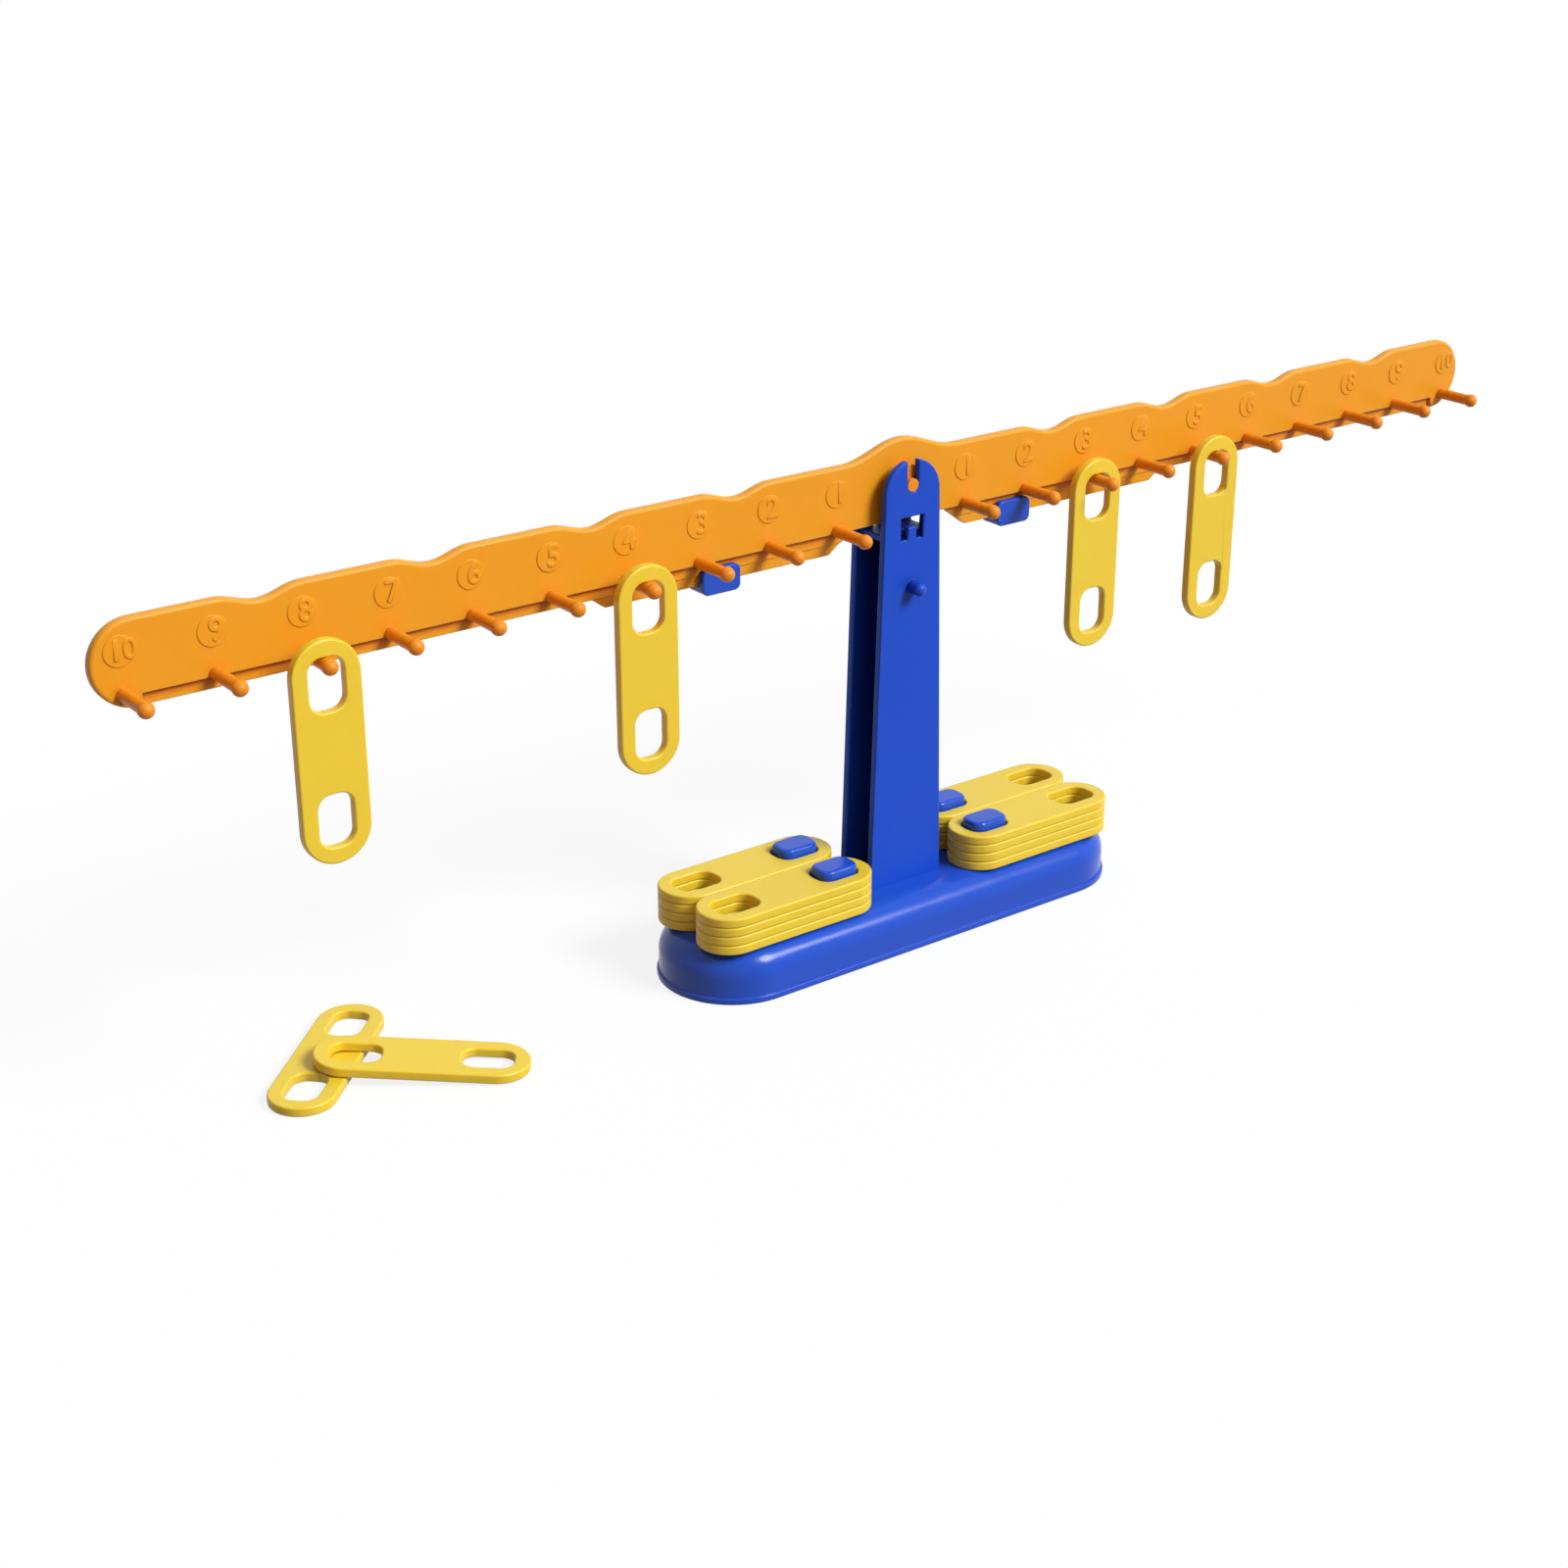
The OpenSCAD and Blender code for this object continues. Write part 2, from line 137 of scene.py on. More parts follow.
class Graph:
    """The node tree of a material, of the world or of a modifier."""

    def __init__(self, tree: bpy.types.NodeTree) -> None:
        """Empties the tree."""
        self.tree = tree
        tree.nodes.clear()

    def add(self, kind: str, settings: dict[str, object], sockets: dict[Union[str, int], Input]) -> Node:
        """Adds one node.

        Args:
            kind: the node's type.
            settings: attributes to set first.
            sockets: values or links, by the input's name or place.

        Returns:
            The node.
        """
        node = self.tree.nodes.new(kind)
        for name, setting in settings.items():
            setattr(node, name, setting)
        for key, value in sockets.items():
            target = node.inputs[key]
            if isinstance(key, str):
                target = next(s for s in node.inputs if s.name == key and s.enabled)
            if isinstance(value, Value):
                self.tree.links.new(value.socket, target)
            else:
                target.default_value = value
        return Node(self, node)

    def blend(self, factor: Input, first: Input, second: Input) -> Value:
        """Mixes two colours.

        Args:
            factor: 0 gives the first colour and 1 the second.
            first: the first colour.
            second: the second colour.

        Returns:
            The mixed colour.
        """
        sockets = {"Factor": factor, "A": first, "B": second}
        return self.add("ShaderNodeMix", {"data_type": "RGBA"}, sockets)["Result"]

    def noise(self, place: Value, scale: float, detail: float) -> Value:
        """Smooth noise from 0 to 1.

        Args:
            place: where the noise is read.
            scale: features per metre.
            detail: octaves of finer noise.

        Returns:
            The noise.
        """
        sockets = {"Vector": place, "Scale": scale, "Detail": detail}
        return self.add("ShaderNodeTexNoise", {}, sockets)["Fac"]


class Drag(Enum):
    """Faint lines that a moulding shows along the way it left its tool."""

    NONE = (1.0, 1.0, 1.0)
    UPRIGHT = (1.0, 1.0, 0.02)


@dataclass(frozen=True)
class Plastic:
    """A moulded plastic with painted shade in its hollows, faint colour drift, rubbed edges and a fine satin
    skin.
    """

    name: str
    color: Color
    deep: Color
    # The hollow colour is painted shade, put into the piece's own hollows and recesses.
    hollow: Color
    rubbed: Color
    roughness: float
    specular: float
    hollow_reach: float
    glow: float = 0.0
    glow_reach: tuple[float, float, float] = (1.0, 0.25, 0.05)
    glow_depth: float = 2.5 * MM
    drag: Drag = Drag.NONE
    drift_scale: float = 22.0
    drift_detail: float = 3.0
    drift_span: tuple[float, float] = (0.3, 0.75)
    drift_share: float = 0.3
    piece_share: float = 0.3
    streak_share: float = 0.35
    grain_scale: float = 2200.0
    grain_detail: float = 2.0
    grain_height: float = 0.35
    grain_gloss: float = 0.08
    wave_scale: float = 55.0
    wave_detail: float = 1.0
    wave_height: float = 0.65
    wave_gloss: float = 0.14
    line_scale: float = 420.0
    line_detail: float = 2.0
    line_height: float = 0.25
    edge_radius: float = 0.9 * MM
    edge_span: tuple[float, float] = (0.01, 0.12)
    rub_span: tuple[float, float] = (0.35, 0.6)
    rub_share: float = 0.55
    rub_gloss: float = 0.08
    hollow_span: tuple[float, float] = (0.2, 0.75)
    crease_radius: float = 0.35 * MM
    skin_depth: float = 0.12 * MM
    skin_strength: float = 0.22
    index: float = 1.49

    def build(self) -> bpy.types.Material:
        """Makes the material.

        Returns:
            The material.
        """
        material = bpy.data.materials.new(self.name)
        material.use_nodes = True
        graph = Graph(material.node_tree)
        place = graph.add("ShaderNodeTexCoord", {}, {})["Object"]
        stretched = graph.add(
            "ShaderNodeVectorMath", {"operation": "MULTIPLY"}, {0: place, 1: self.drag.value}
        )["Vector"]
        drift = graph.noise(place, self.drift_scale, self.drift_detail)
        grain = graph.noise(place, self.grain_scale, self.grain_detail)
        wave = graph.noise(place, self.wave_scale, self.wave_detail)
        lines = graph.noise(stretched, self.line_scale, self.line_detail)
        piece = graph.add("ShaderNodeObjectInfo", {}, {})["Random"]
        soft = self._normal(graph, self.edge_radius)
        rub = self._edge(graph, soft) * drift.ramp(*self.rub_span)
        streak = (lines if self.drag is Drag.UPRIGHT else grain) - NOISE_MEAN
        tint = drift.ramp(*self.drift_span) * self.drift_share + piece * self.piece_share
        tint = tint + streak * self.streak_share
        body = self._body(graph, place, tint)
        # Painted shade: the colour turns to the hollow colour wherever the piece's own hollows would be
        # shaded.
        shaded = graph.blend(self._hollow(graph), body, self.hollow)
        color = graph.blend(rub * self.rub_share, shaded, self.rubbed)
        satin = (wave - NOISE_MEAN) * self.wave_gloss + (grain - NOISE_MEAN) * self.grain_gloss
        roughness = self.roughness + satin + rub * self.rub_gloss
        height = grain * self.grain_height + wave * self.wave_height + (lines - NOISE_MEAN) * self.line_height
        sockets = {"Strength": self.skin_strength, "Distance": self.skin_depth, "Height": height}
        sockets["Normal"] = self._normal(graph, self.crease_radius)
        bump = graph.add("ShaderNodeBump", {}, sockets)["Normal"]
        shader = graph.add(
            "ShaderNodeBsdfPrincipled",
            {},
            {
                "Base Color": color,
                "Roughness": roughness,
                "Normal": bump,
                "IOR": self.index,
                "Specular IOR Level": self.specular,
                "Subsurface Weight": self.glow,
                "Subsurface Radius": self.glow_reach,
                "Subsurface Scale": self.glow_depth,
            },
        )["BSDF"]
        graph.add("ShaderNodeOutputMaterial", {}, {"Surface": shader})
        return material

    def _body(self, graph: Graph, place: Value, tint: Value) -> Value:
        """Mixes the plain body colour.

        Args:
            graph: the material's nodes.
            place: where on the piece the colour is read; not used here.
            tint: 0 for the plain colour and 1 for the deep one.

        Returns:
            The colour.
        """
        return graph.blend(tint, self.color, self.deep)

    def _hollow(self, graph: Graph) -> Value:
        """Finds the piece's own hollows, where the colour is darkened as painted shade.

        Args:
            graph: the material's nodes.

        Returns:
            About 0 on an open face and 1 deep in a hollow.
        """
        settings = {"samples": SHADE_SAMPLES, "only_local": True}
        open_share = graph.add("ShaderNodeAmbientOcclusion", settings, {"Distance": self.hollow_reach})["AO"]
        return (1.0 - open_share).ramp(*self.hollow_span)

    def _normal(self, graph: Graph, radius: float) -> Value:
        """Finds the way a face looks when its edges are rounded to a radius."""
        return graph.add("ShaderNodeBevel", {"samples": SHADE_SAMPLES}, {"Radius": radius})["Normal"]

    def _edge(self, graph: Graph, soft: Value) -> Value:
        """Finds the edges that hands rub.

        Args:
            graph: the material's nodes.
            soft: the way a face looks when its edges are rounded.

        Returns:
            About 1 on an edge and 0 on a flat face.
        """
        true = graph.add("ShaderNodeNewGeometry", {}, {})["Normal"]
        facing = graph.add("ShaderNodeVectorMath", {"operation": "DOT_PRODUCT"}, {0: soft, 1: true})["Value"]
        return (1.0 - facing).ramp(*self.edge_span)


@dataclass(frozen=True)
class PegPlastic(Plastic):
    """A plastic with painted shade on the pegs in front of the panel and a painted shadow in the step under
    its lower edge.
    """

    # Painted shade: the pegs are tinted redder for the reddish shade that light gives these thin rods.
    peg_color: Color = (0.82, 0.260, 0.007, 1.0)
    peg_start: float = -4.2 * MM
    peg_full: float = -7.0 * MM
    peg_share: float = 0.9
    # Painted shadow: the step under the panel's lower edge turns dark red, as the panel's shadow there.
    step_color: Color = (0.560, 0.085, 0.003, 1.0)
    step_low: float = 158.8 * MM
    step_full: float = 161.2 * MM
    step_top: float = 162.05 * MM
    step_front: float = -2.9 * MM
    step_back: float = -0.5 * MM
    step_reach: float = 293.5 * MM
    step_share: float = 0.8

    def _body(self, graph: Graph, place: Value, tint: Value) -> Value:
        """Mixes the body colour, with painted shade along the pegs and a painted shadow in the step.

        Args:
            graph: the material's nodes.
            place: where on the piece the colour is read.
            tint: 0 for the plain colour and 1 for the deep one.

        Returns:
            The colour.
        """
        spot = graph.add("ShaderNodeSeparateXYZ", {}, {"Vector": place})
        peg_shade_mask = 1.0 - spot["Y"].ramp(self.peg_full, self.peg_start)
        under = spot["Z"].ramp(self.step_low, self.step_full) * (spot["Z"] < self.step_top)
        inside = (spot["Y"] > self.step_front) * (spot["Y"] < self.step_back)
        between = (spot["X"] > -self.step_reach) * (spot["X"] < self.step_reach)
        panel = graph.blend(tint, self.color, self.deep)
        # Painted shadow in the step under the panel.
        step_shadowed = graph.blend(under * inside * between * self.step_share, panel, self.step_color)
        # Painted shade along the pegs.
        return graph.blend(peg_shade_mask * self.peg_share, step_shadowed, self.peg_color)


@dataclass(frozen=True)
class Palette:
    """The plastics of the balance."""

    # In every plastic, the hollow colour is painted shade that darkens the piece's own recesses.
    blue: Plastic = Plastic(
        "blue_moulding",
        color=(0.010, 0.078, 0.570, 1.0),
        deep=(0.006, 0.056, 0.480, 1.0),
        hollow=(0.004, 0.018, 0.220, 1.0),
        rubbed=(0.060, 0.160, 0.680, 1.0),
        roughness=0.19,
        specular=0.31,
        hollow_reach=8.0 * MM,
    )
    drawn_blue: Plastic = Plastic(
        "blue_column",
        color=(0.010, 0.080, 0.600, 1.0),
        deep=(0.007, 0.058, 0.510, 1.0),
        hollow=(0.003, 0.006, 0.100, 1.0),
        rubbed=(0.050, 0.140, 0.660, 1.0),
        roughness=0.42,
        specular=0.25,
        hollow_reach=16.0 * MM,
        drag=Drag.UPRIGHT,
    )
    orange: Plastic = PegPlastic(
        "orange_moulding",
        color=(0.830, 0.350, 0.012, 1.0),
        deep=(0.800, 0.305, 0.008, 1.0),
        hollow=(0.640, 0.110, 0.002, 1.0),
        rubbed=(0.860, 0.440, 0.030, 1.0),
        roughness=0.42,
        specular=0.36,
        hollow_reach=7.0 * MM,
        glow=0.25,
    )
    figure_orange: Plastic = Plastic(
        "orange_figures",
        color=(0.830, 0.345, 0.012, 1.0),
        deep=(0.800, 0.300, 0.008, 1.0),
        hollow=(0.480, 0.120, 0.004, 1.0),
        rubbed=(0.840, 0.365, 0.015, 1.0),
        roughness=0.44,
        specular=0.30,
        hollow_reach=1.4 * MM,
        edge_radius=0.2 * MM,
    )
    yellow: Plastic = Plastic(
        "yellow_moulding",
        color=(0.825, 0.605, 0.034, 1.0),
        deep=(0.800, 0.550, 0.022, 1.0),
        hollow=(0.620, 0.220, 0.004, 1.0),
        rubbed=(0.860, 0.670, 0.080, 1.0),
        roughness=0.40,
        specular=0.55,
        hollow_reach=9.0 * MM,
        glow=0.25,
    )


@dataclass(frozen=True)
class Zone:
    """A box of a piece whose edges get a share of the piece's edge radius, fading along X at its ends."""

    low: tuple[float, float, float]
    high: tuple[float, float, float]
    share: float
    fade: float

    def holds(self, spot: Node) -> Value:
        """Tells how far a place is inside.

        Args:
            spot: the place's X, Y and Z.

        Returns:
            1 inside and 0 outside.
        """
        start, end = self.low[0], self.high[0]
        inside = spot["X"].ramp(start, start + self.fade) * spot["X"].ramp(end, end - self.fade)
        for axis, low, high in zip("YZ", self.low[1:], self.high[1:]):
            inside = inside * (spot[axis] > low) * (spot[axis] < high)
        return inside


@dataclass(frozen=True)
class Softener:
    """Rounds the outer edges of a moulded piece, as its tool does, and keeps the inner corners crisp."""

    radius: float
    share: float = 1.0
    zones: tuple[Zone, ...] = ()
    segments: int = 4
    sharp_angle: float = math.radians(30.0)
    weld: float = 0.002 * MM
    flat_angle: float = math.radians(0.4)
    crisp_weight: float = 0.01
    normal_weight: int = 80

    def rules(self, name: str) -> bpy.types.NodeTree:
        """Makes the nodes that weigh every edge of a piece.

        Args:
            name: what the node tree is called.

        Returns:
            The node tree of a modifier.
        """
        tree = bpy.data.node_groups.new(name, "GeometryNodeTree")
        for way in ("INPUT", "OUTPUT"):
            tree.interface.new_socket("Geometry", in_out=way, socket_type="NodeSocketGeometry")
        graph = Graph(tree)
        shape = graph.add("NodeGroupInput", {}, {})["Geometry"]
        angle = graph.add("GeometryNodeInputMeshEdgeAngle", {}, {})
        place = graph.add("GeometryNodeInputPosition", {}, {})["Position"]
        spot = graph.add("ShaderNodeSeparateXYZ", {}, {"Vector": place})
        share: Input = self.share
        for zone in self.zones:
            share = share + zone.holds(spot) * (zone.share - share)
        weight = (angle["Signed Angle"] > self.sharp_angle) * share
        crisp = (angle["Unsigned Angle"] > self.sharp_angle) * (weight < self.crisp_weight)
        smooth = graph.add("GeometryNodeSetShadeSmooth", {}, {"Geometry": shape})["Geometry"]
        weighed = self._store(graph, smooth, "FLOAT", "bevel_weight_edge", weight)
        marked = self._store(graph, weighed, "BOOLEAN", "sharp_edge", crisp)
        graph.add("NodeGroupOutput", {}, {"Geometry": marked})
        return tree

    def _store(self, graph: Graph, shape: Value, kind: str, name: str, value: Value) -> Value:
        """Keeps a value on every edge.

        Args:
            graph: the modifier's nodes.
            shape: the geometry.
            kind: the value's type.
            name: what the value is called.
            value: the value itself.

        Returns:
            The geometry with the value on its edges.
        """
        settings = {"data_type": kind, "domain": "EDGE"}
        sockets = {"Geometry": shape, "Name": name, "Value": value}
        return graph.add("GeometryNodeStoreNamedAttribute", settings, sockets)["Geometry"]

    def apply(self, node: bpy.types.Object, rules: bpy.types.NodeTree) -> None:
        """Adds the rounding to a node as modifiers.

        Args:
            node: the piece, whose own mesh stays as it is.
            rules: the nodes that weigh its edges.
        """
        node.modifiers.new("weld", "WELD").merge_threshold = self.weld
        flat = node.modifiers.new("flats", "DECIMATE")
        flat.decimate_type = "DISSOLVE"
        flat.angle_limit = self.flat_angle
        node.modifiers.new("edge_rules", "NODES").node_group = rules
        bevel = node.modifiers.new("soft_edges", "BEVEL")
        bevel.width = self.radius
        bevel.segments = self.segments
        bevel.limit_method = "WEIGHT"
        bevel.use_clamp_overlap = False
        node.modifiers.new("seam_weld", "WELD").merge_threshold = self.weld
        normals = node.modifiers.new("even_shading", "WEIGHTED_NORMAL")
        normals.keep_sharp = True
        normals.weight = self.normal_weight


class Assembly:
    """What every sub-assembly does with its pieces."""

    def dress(self, nodes: list[str], edge: Softener, material: bpy.types.Material) -> None:
        """Softens and paints mouldings that share one finish.

        Args:
            nodes: the pieces.
            edge: how their edges are rounded.
            material: their plastic.
        """
        rules = edge.rules(nodes[0] + "_edges")
        for name in nodes:
            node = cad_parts[name]
            edge.apply(node, rules)
            node.data.materials.clear()
            node.data.materials.append(material)
            log.info("%s: %s", name, material.name)

    def mount(
        self, name: str, mesh: bpy.types.Mesh, body: str, slot: str, material: bpy.types.Material
    ) -> None:
        """Adds a moulded detail that moves with a body.

        Args:
            name: the piece's name.
            mesh: its mesh, already in place.
            body: the body that carries it.
            slot: not used.
            material: its plastic.
        """
        mesh.materials.append(material)
        piece = bpy.data.objects.new(name, mesh)
        bpy.context.scene.collection.objects.link(piece)
        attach(piece, body)
        log.info("%s: rides on %s", name, body)


@dataclass(frozen=True)
class Turned:
    """A low round form, turned from a profile of radius and height, and closed above and below."""

    profile: tuple[tuple[float, float], ...]
    steps: int = 48

    def add(self, work: bmesh.types.BMesh, place: Matrix) -> None:
        """Adds the form.

        Args:
            work: the mesh that takes it.
            place: where it stands; its height is along Z.
        """
        turns = [2 * math.pi * i / self.steps for i in range(self.steps)]
        rings = []
        for radius, height in self.profile:
            spots = [Vector((radius * math.cos(turn), radius * math.sin(turn), height)) for turn in turns]
            rings.append([work.verts.new(place @ spot) for spot in spots])
        for lower, upper in zip(rings, rings[1:]):
            for i in range(self.steps):
                following = (i + 1) % self.steps
                work.faces.new((lower[i], lower[following], upper[following], upper[i]))
        work.faces.new(rings[-1])
        work.faces.new(rings[0][::-1])


@dataclass(frozen=True)
class PinMark:
    """The low round dish that an ejector pin leaves on a moulding's hidden side."""

    radius: float = 2.2 * MM
    rim: float = 0.35 * MM
    rise: float = 0.25 * MM
    dish: float = 0.08 * MM
    root: float = 0.1 * MM
    side_share: float = 0.6
    crown_share: float = 0.3
    slope_share: float = 1.6

    def mesh(self, name: str, places: list[Matrix]) -> bpy.types.Mesh:
        """Joins marks in one mesh.

        Args:
            name: what the mesh is called.
            places: where the marks stand; they rise along Z.

        Returns:
            The mesh.
        """
        form = Turned((
            (self.radius, -self.root),
            (self.radius, self.rise * self.side_share),
            (self.radius - self.rim * self.crown_share, self.rise),
            (self.radius - self.rim, self.rise),
            (self.radius - self.rim * self.slope_share, self.dish),
        ))
        work = bmesh.new()
        for place in places:
            form.add(work, place)
        mesh = bpy.data.meshes.new(name)
        work.to_mesh(mesh)
        work.free()
        return mesh


@dataclass
class Stand(Assembly):
    """The base with its posts, and the column that plugs into it."""

    base_edge: float = 0.6 * MM
    column_edge: float = 0.7 * MM
    ceiling: float = 17.2 * MM
    base_marks_x: tuple[float, ...] = (36.0 * MM, 62.0 * MM, 86.0 * MM)
    base_marks_y: float = 11.0 * MM
    web_face: float = 1.5 * MM
    web_marks_z: tuple[float, ...] = (45.0 * MM, 80.0 * MM, 115.0 * MM)
    mark: PinMark = PinMark()

    def build(self, palette: Palette) -> None:
        """Dresses both mouldings and adds the marks in their hollows.

        Args:
            palette: the plastics.
        """
        blue = palette.blue.build()
        drawn = palette.drawn_blue.build()
        self.dress(["base"], Softener(self.base_edge), blue)
        self.dress(["column"], Softener(self.column_edge), drawn)
        for name, places, finish in (
            ("base_pin_marks", self._base_places(), blue),
            ("column_pin_marks", self._web_places(), drawn),
        ):
            self.mount(name, self.mark.mesh(name, places), "stand", "blue_plastic", finish)

    def _base_places(self) -> list[Matrix]:
        """Places the marks on the ceiling of the hollow underside, facing down."""
        down = Matrix.Rotation(math.pi, 4, "X")
        sides = [(sx, sy) for sx in (-1, 1) for sy in (-1, 1)]
        spots = [(sx * x, sy * self.base_marks_y) for x in self.base_marks_x for sx, sy in sides]
        return [Matrix.Translation((x, y, self.ceiling)) @ down for x, y in spots]

    def _web_places(self) -> list[Matrix]:
        """Places the marks on both faces of the column's web."""
        spots = [(side, z) for z in self.web_marks_z for side in (-1, 1)]
        return [
            Matrix.Translation((side * self.web_face, 0.0, z)) @ Matrix.Rotation(side * math.pi / 2, 4, "Y")
            for side, z in spots
        ]


@dataclass
class Beam(Assembly):
    """The beam, with raised numbers on low discs over its pegs and pin marks in the bays of its back."""

    pegs: int = 10
    pitch: float = 30.0 * MM
    front: float = -3.0 * MM
    front_slack: float = 0.05 * MM
    edge: float = 1.3 * MM
    edge_share: float = 0.0
    edge_fade: float = 10.0 * MM
    strip: float = 295.5 * MM
    strip_top: float = 162.4 * MM
    far: float = 1.0
    number_z: float = 176.6 * MM
    disc_radius: float = 5.1 * MM
    disc_rise: float = 0.3 * MM
    disc_soft: float = 0.25 * MM
    disc_root: float = 0.2 * MM
    disc_corner_share: float = 0.3
    digit_size: float = 10.4 * MM
    wide_digit_size: float = 9.0 * MM
    digit_shift: float = 1.2 * MM
    digit_rise: float = 0.6 * MM
    digit_soft: float = 0.3 * MM
    digit_steps: int = 6
    digit_weld: float = 0.002 * MM
    bay_floor: float = -1.2 * MM
    bay_mark_z: float = 177.0 * MM
    mark: PinMark = PinMark()

    def build(self, palette: Palette) -> None:
        """Dresses the beam and adds its numbers and marks.

        Args:
            palette: the plastics.
        """
        orange = palette.orange.build()
        figures = palette.figure_orange.build()
        self.dress(["beam"], Softener(self.edge, self.edge_share, self._zones()), orange)
        for side, sign in (("left", -1), ("right", 1)):
            for count in range(1, self.pegs + 1):
                mesh = self._number(count)
                mesh.transform(self._stand_up(sign * count * self.pitch))
                self.mount(f"number_{side}_{count}", mesh, "beam", "orange_plastic", figures)
        marks = self.mark.mesh("beam_pin_marks", self._bay_places())
        self.mount("beam_pin_marks", marks, "beam", "orange_plastic", orange)

    def _zones(self) -> tuple[Zone, Zone]:
        """Names the front outline, which is well rounded, and the crisp band and rails under the panel."""
        low, high = self.front - self.front_slack, self.front + self.front_slack
        reach = self.strip + self.edge_fade
        outline = Zone((-self.far, low, 0.0), (self.far, high, self.far), 1.0, self.edge_fade)
        under = Zone((-reach, -self.far, 0.0), (reach, self.far, self.strip_top), 0.0, self.edge_fade)
        return outline, under

    def _stand_up(self, x: float) -> Matrix:
        """Stands a flat number upright on the panel at x."""
        return Matrix.Translation((x, self.front, self.number_z)) @ Matrix.Rotation(math.pi / 2, 4, "X")

    def _bay_places(self) -> list[Matrix]:
        """Places one mark in every bay of the hollow back, facing backwards."""
        back = Matrix.Rotation(-math.pi / 2, 4, "X")
        counts = [side * count for side in (-1, 1) for count in range(1, self.pegs + 1)]
        spots = [(count * self.pitch, self.bay_floor, self.bay_mark_z) for count in counts]
        return [Matrix.Translation(spot) @ back for spot in spots]

    def _number(self, count: int) -> bpy.types.Mesh:
        """Joins a number's digits and its disc.

        Args:
            count: the number.

        Returns:
            The mesh, lying flat about the origin.
        """
        corner = self.disc_soft * self.disc_corner_share
        disc = Turned((
            (self.disc_radius, -self.disc_root),
            (self.disc_radius, self.disc_rise - self.disc_soft),
            (self.disc_radius - corner, self.disc_rise - corner),
            (self.disc_radius - self.disc_soft, self.disc_rise),
        ))
        work = bmesh.new()
        digits = self._digits(count)
        work.from_mesh(digits)
        bpy.data.meshes.remove(digits)
        bmesh.ops.remove_doubles(work, verts=work.verts, dist=self.digit_weld)
        bmesh.ops.recalc_face_normals(work, faces=work.faces)
        disc.add(work, Matrix.Identity(4))
        mesh = bpy.data.meshes.new(f"number_{count}")
        work.to_mesh(mesh)
        work.free()
        return mesh

    def _digits(self, count: int) -> bpy.types.Mesh:
        """Makes a number's digits with softened edges.

        Args:
            count: the number.

        Returns:
            The mesh.
        """
        text = bpy.data.curves.new(f"digits_{count}", "FONT")
        text.body = str(count)
        text.align_x = "CENTER"
        text.align_y = "CENTER"
        text.size = self.digit_size if count < self.pegs else self.wide_digit_size
        text.extrude = self.digit_rise - self.digit_soft
        text.bevel_depth = self.digit_soft
        text.bevel_resolution = 1
        text.resolution_u = self.digit_steps
        holder = bpy.data.objects.new(text.name, text)
        bpy.context.scene.collection.objects.link(holder)
        graph = bpy.context.evaluated_depsgraph_get()
        mesh = bpy.data.meshes.new_from_object(holder.evaluated_get(graph))
        bpy.data.objects.remove(holder)
        bpy.data.curves.remove(text)
        mesh.transform(Matrix.Translation((self.digit_shift, 0.0, 0.0)))
        return mesh


@dataclass
class Sliders(Assembly):
    """The two clips that balance the beam."""

    edge: float = 0.6 * MM

    def build(self, palette: Palette) -> None:
        """Dresses both clips.

        Args:
            palette: the plastics.
        """
        self.dress(["slider_left", "slider_right"], Softener(self.edge), palette.blue.build())


@dataclass
class Tags(Assembly):
    """The hung, loose and stacked tags."""

    edge: float = 0.7 * MM

    def build(self, palette: Palette) -> None:
        """Dresses every tag.

        Args:
            palette: the plastics.
        """
        names = [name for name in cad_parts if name.startswith(("hung_", "loose_", "stack_"))]
        self.dress(names, Softener(self.edge), palette.yellow.build())


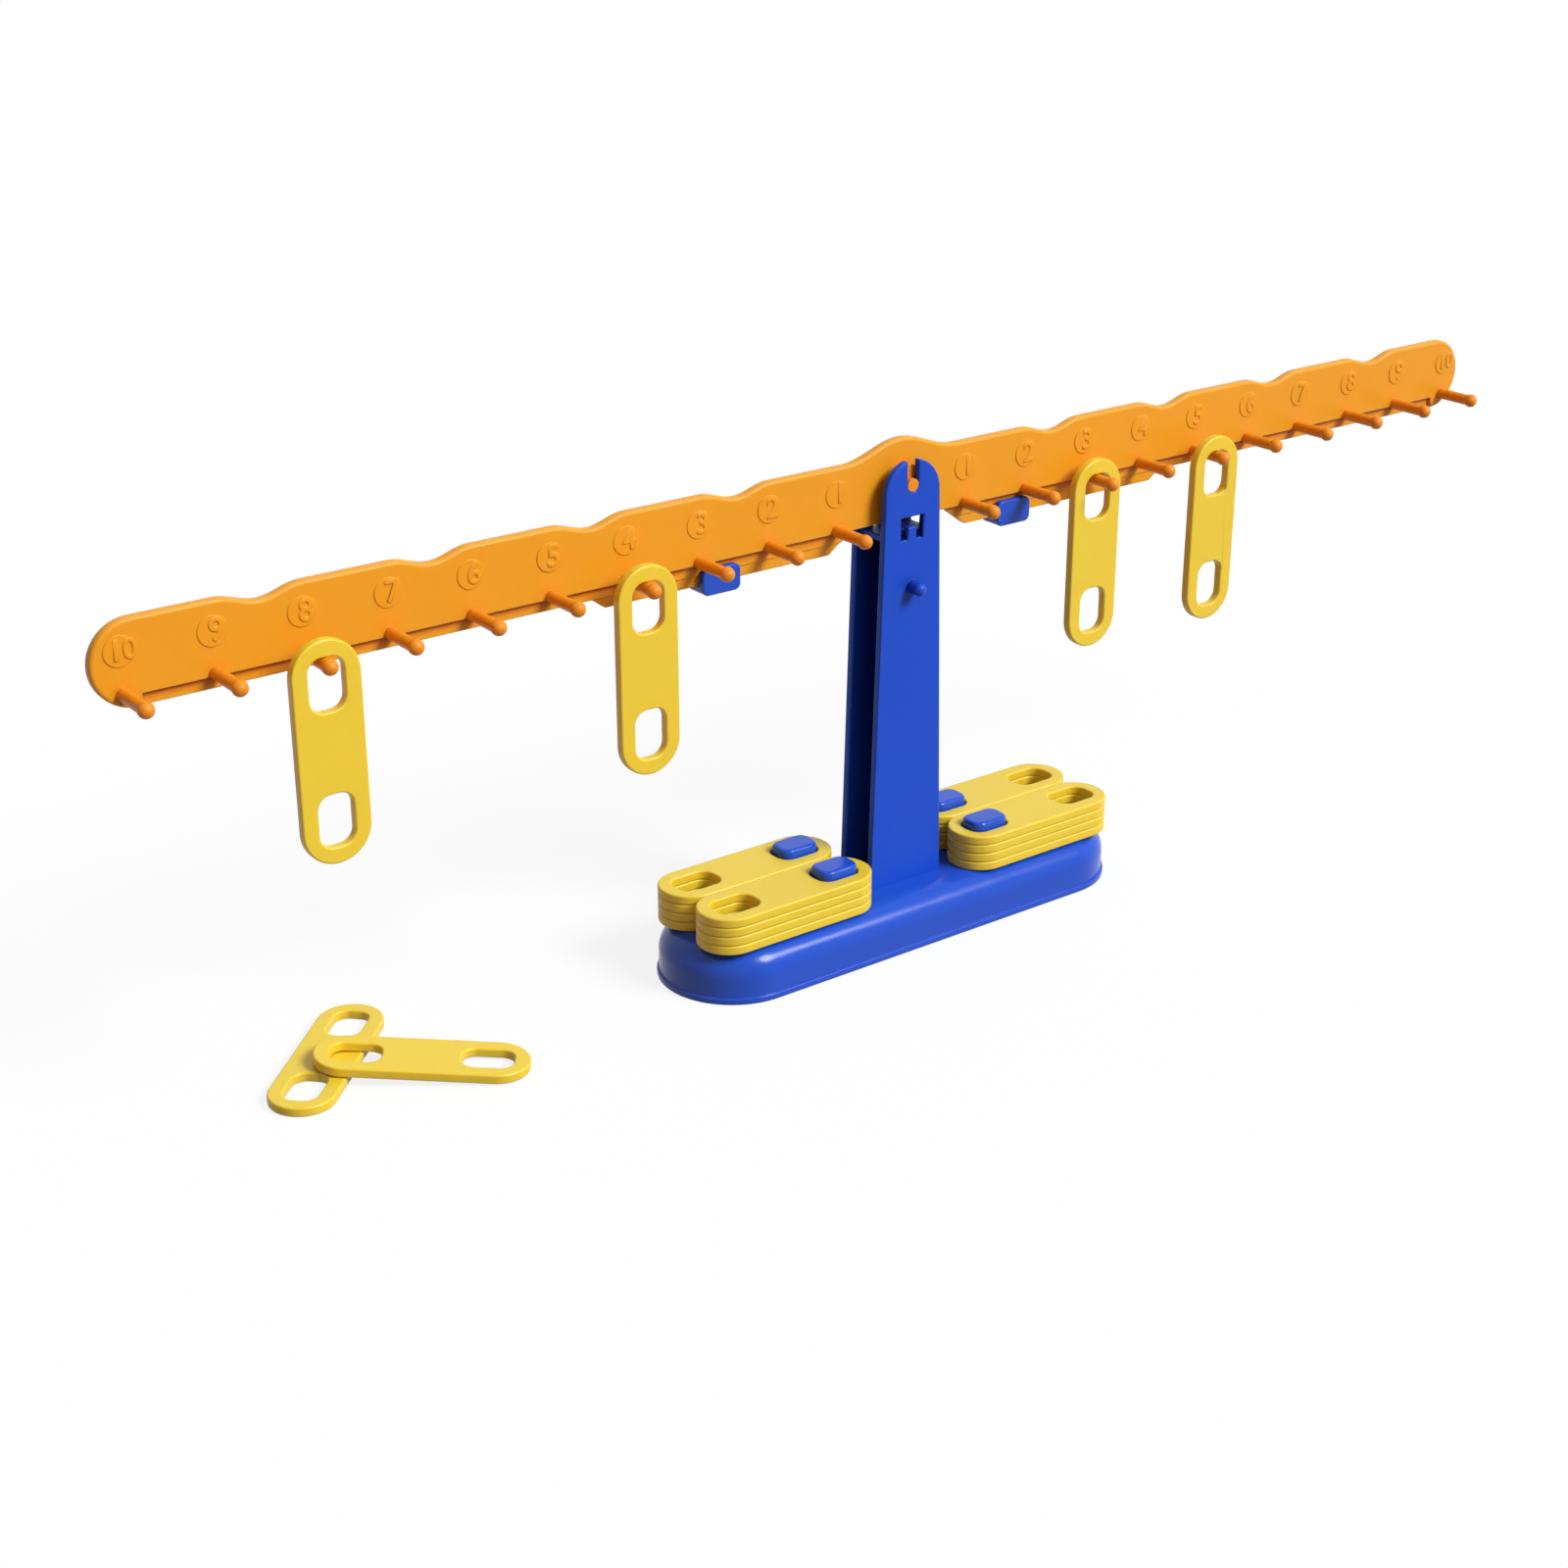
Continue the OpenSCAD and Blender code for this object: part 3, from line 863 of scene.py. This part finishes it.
@dataclass
class Studio:
    """A white floor that fades to a white background, one broad soft light and the camera."""

    focal_pixels: float = 2563.55
    image_pixels: float = 1600.0
    sensor: float = 36.0
    yaw: float = math.radians(37.07)
    pitch: float = math.radians(23.02)
    eye: tuple[float, float, float] = (-564.1 * MM, -678.84 * MM, 430.81 * MM)
    floor_size: float = 16.0
    floor_drop: float = 0.05 * MM
    fade_start: float = 0.45
    fade_end: float = 0.95
    floor_glow: float = 0.84
    floor_bounce: Color = (0.22, 0.22, 0.22, 1.0)
    floor_matt: Color = (0.94, 0.94, 0.94, 1.0)
    sky: float = 0.40
    sky_lean: tuple[float, float, float] = (0.26, 0.0, 0.0)
    sky_high: Color = (0.94, 1.08, 1.16, 1.0)
    sky_low: Color = (1.0, 0.64, 0.46, 1.0)
    sky_left: Color = (2.3, 0.45, 0.10, 1.0)
    sky_span: tuple[float, float] = (0.1, 0.7)
    left_span: tuple[float, float] = (-0.1, -0.7)
    left_height: tuple[float, float] = (0.55, 0.05)
    key_power: float = 3.2
    key_spread: float = math.radians(24.0)
    key_from: tuple[float, float, float] = (0.45, -0.84, 0.79)

    def build(self) -> None:
        """Makes the camera, the lights, the floor and the world."""
        self._camera()
        self._key()
        self._floor()
        self._world()
        bpy.context.scene.view_settings.view_transform = "Standard"

    def _camera(self) -> None:
        """Places the camera where the photo was taken from."""
        data = bpy.data.cameras.new("camera")
        data.sensor_width = self.sensor
        data.lens = self.sensor * self.focal_pixels / self.image_pixels
        camera = bpy.data.objects.new("camera", data)
        flat = math.cos(self.pitch)
        ahead = Vector((math.sin(self.yaw) * flat, math.cos(self.yaw) * flat, -math.sin(self.pitch)))
        right = Vector((math.cos(self.yaw), -math.sin(self.yaw), 0.0))
        turn = Matrix((right, right.cross(ahead), -ahead)).transposed()
        camera.matrix_world = Matrix.Translation(self.eye) @ turn.to_4x4()
        bpy.context.scene.collection.objects.link(camera)
        bpy.context.scene.camera = camera

    def _key(self) -> None:
        """Sends the key light from the right, the front and above, alike over the whole beam."""
        data = bpy.data.lights.new("key", "SUN")
        data.energy = self.key_power
        data.angle = self.key_spread
        key = bpy.data.objects.new("key", data)
        key.location = self.key_from
        key.rotation_euler = (-Vector(self.key_from)).to_track_quat("-Z", "Y").to_euler()
        bpy.context.scene.collection.objects.link(key)

    def _floor(self) -> None:
        """Lays the floor, matt near the balance and plain white further out."""
        half = self.floor_size / 2
        mesh = bpy.data.meshes.new("floor")
        corners = [(-half, -half, 0.0), (half, -half, 0.0), (half, half, 0.0), (-half, half, 0.0)]
        mesh.from_pydata(corners, [], [(0, 1, 2, 3)])
        floor = bpy.data.objects.new("floor", mesh)
        floor.location.z = -self.floor_drop
        bpy.context.scene.collection.objects.link(floor)
        material = bpy.data.materials.new("floor_white")
        material.use_nodes = True
        graph = Graph(material.node_tree)
        place = graph.add("ShaderNodeTexCoord", {}, {})["Object"]
        distance = graph.add("ShaderNodeVectorMath", {"operation": "LENGTH"}, {0: place})["Value"]
        path = graph.add("ShaderNodeLightPath", {}, {})
        seen = path["Is Camera Ray"] | path["Is Glossy Ray"] | path["Is Transmission Ray"]
        dim = graph.add("ShaderNodeBsdfDiffuse", {}, {"Color": self.floor_bounce})["BSDF"]
        matt = graph.add("ShaderNodeBsdfDiffuse", {}, {"Color": self.floor_matt})["BSDF"]
        plain = graph.add("ShaderNodeEmission", {}, {"Color": WHITE, "Strength": 1.0})["Emission"]
        glow = self.floor_glow + distance.ramp(self.fade_start, self.fade_end) * (1.0 - self.floor_glow)
        white = graph.add("ShaderNodeMixShader", {}, {0: glow, 1: matt, 2: plain})["Shader"]
        surface = graph.add("ShaderNodeMixShader", {}, {0: seen, 1: dim, 2: white})["Shader"]
        graph.add("ShaderNodeOutputMaterial", {}, {"Surface": surface})
        mesh.materials.append(material)

    def _world(self) -> None:
        """Lights the scene, weak and warm from the left and warm low down, and shows as plain white."""
        world = bpy.data.worlds.new("studio")
        world.use_nodes = True
        bpy.context.scene.world = world
        graph = Graph(world.node_tree)
        path = graph.add("ShaderNodeLightPath", {}, {})
        seen = path["Is Camera Ray"] | path["Is Glossy Ray"] | path["Is Transmission Ray"]
        way = graph.add("ShaderNodeTexCoord", {}, {})["Generated"]
        dot = {"operation": "DOT_PRODUCT"}
        light = self.sky + graph.add("ShaderNodeVectorMath", dot, {0: way, 1: self.sky_lean})["Value"]
        strength = light + seen * (1.0 - light)
        spot = graph.add("ShaderNodeSeparateXYZ", {}, {"Vector": way})
        tone = graph.blend(spot["Z"].ramp(*self.sky_span), self.sky_low, self.sky_high)
        left = spot["X"].ramp(*self.left_span) * spot["Z"].ramp(*self.left_height)
        color = graph.blend(seen, graph.blend(left, tone, self.sky_left), WHITE)
        glow = graph.add("ShaderNodeBackground", {}, {"Color": color, "Strength": strength})["Background"]
        graph.add("ShaderNodeOutputWorld", {}, {"Surface": glow})


def main() -> None:
    """Builds the studio and dresses the balance."""
    logging.basicConfig(level=logging.INFO)
    palette = Palette()
    Studio().build()
    for assembly in (Stand(), Beam(), Sliders(), Tags()):
        assembly.build(palette)


if __name__ == "__main__":
    main()
